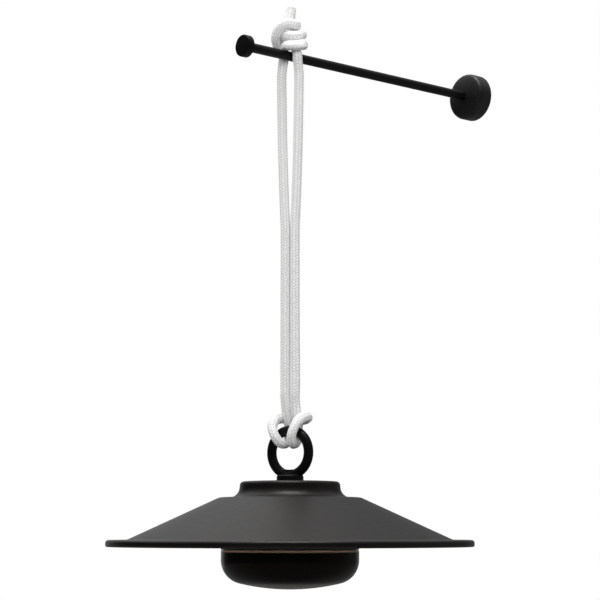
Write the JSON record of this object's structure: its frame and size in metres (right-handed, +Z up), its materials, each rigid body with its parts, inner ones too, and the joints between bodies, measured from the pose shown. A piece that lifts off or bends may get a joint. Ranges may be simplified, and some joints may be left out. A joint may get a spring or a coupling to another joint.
{
  "type": "outdoor hanging lamp with wall bracket",
  "caption": "Cone-shaded rechargeable hanging lamp with a smoked light cup, held by a knotted rope loop on a straight wall rod.",
  "frame": {"origin": "middle of the wall plate's back face, on the rod's axis", "axes": "+Y points into the wall, the rod runs along -Y, +Z is up, +X is to the right seen from the front"},
  "size_m": [0.3, 0.375, 0.4895],
  "materials": {
    "zinc_plate": "plain zinc-plated steel",
    "black_coat": "satin black powder coat",
    "rope": "braided white cord",
    "cast_ring": "cast metal with a satin black coat",
    "seal_rubber": "matte",
    "plain_steel": "plain steel",
    "shade_coat": "satin charcoal coat",
    "housing_plastic": "moulded, fine grain",
    "board_green": "solder mask",
    "switch_black": "moulded",
    "button_rubber": "silicone rubber",
    "cell_wrap": "shrink wrap",
    "nickel": "nickel strip",
    "foam": "closed-cell foam",
    "cradle_plastic": "moulded",
    "lead_red": "insulated wire",
    "spreader_metal": "plain sheet",
    "board_white": "white solder mask",
    "led_yellow": "phosphor",
    "smoked_cup": "dark smoked polycarbonate, polished"
  },
  "bodies": {
    "bracket": {"wall_plate": "zinc_plate", "wall_cover": "black_coat", "cover_screw": "zinc_plate", "support_rod": "black_coat", "rod_set_screw": "zinc_plate", "rod_stop": "black_coat"},
    "knot": {"rope_knot": "rope"},
    "loop": {"rope_loop": "rope"},
    "lamp": {"eye_ring": "cast_ring", "eye_seal": "seal_rubber", "eye_washer": "plain_steel", "eye_nut": "plain_steel", "shade": "shade_coat", "shade_gasket": "seal_rubber", "upper_housing": "housing_plastic", "driver_board": "board_green", "board_screws": "plain_steel", "usb_port": "plain_steel", "power_switch": "switch_black", "battery_cells": "cell_wrap", "cell_tabs": "nickel", "cell_pad": "foam", "battery_cradle": "cradle_plastic", "cradle_screws": "plain_steel", "battery_leads": "lead_red", "led_leads": "lead_red", "heat_spreader": "spreader_metal", "led_board": "board_white", "led_chips": "led_yellow", "led_screws": "plain_steel", "glass_cup": "smoked_cup", "cup_seal": "seal_rubber", "cup_screws": "plain_steel"},
    "button": {"power_button": "button_rubber"},
    "cover": {"port_cover": "button_rubber"}
  },
  "joints": [
    {"name": "rope_slide", "type": "slide", "parent": "bracket", "child": "knot", "axis": [0, 1, 0], "range_m": [-0.027, 0.048]},
    {"name": "rope_swing", "type": "hinge", "parent": "knot", "child": "loop", "pos_m": [0, -0.225, 0], "axis": [0, 1, 0], "range_deg": [-30, 30]},
    {"name": "ring_tilt", "type": "hinge", "parent": "loop", "child": "lamp", "pos_m": [0, -0.225, -0.316], "axis": [0.9659, 0.2588, 0], "range_deg": [-25, 25]},
    {"name": "button_press", "type": "slide", "parent": "lamp", "child": "button", "axis": [0.5, -0.866, 0], "range_m": [0, 0.0008], "stiffness_N_per_m": 400},
    {"name": "cover_turn", "type": "hinge", "parent": "lamp", "child": "cover", "pos_m": [-0.04069, -0.21017, -0.365], "axis": [0, 0, 1], "range_deg": [0, 100]}
  ]
}
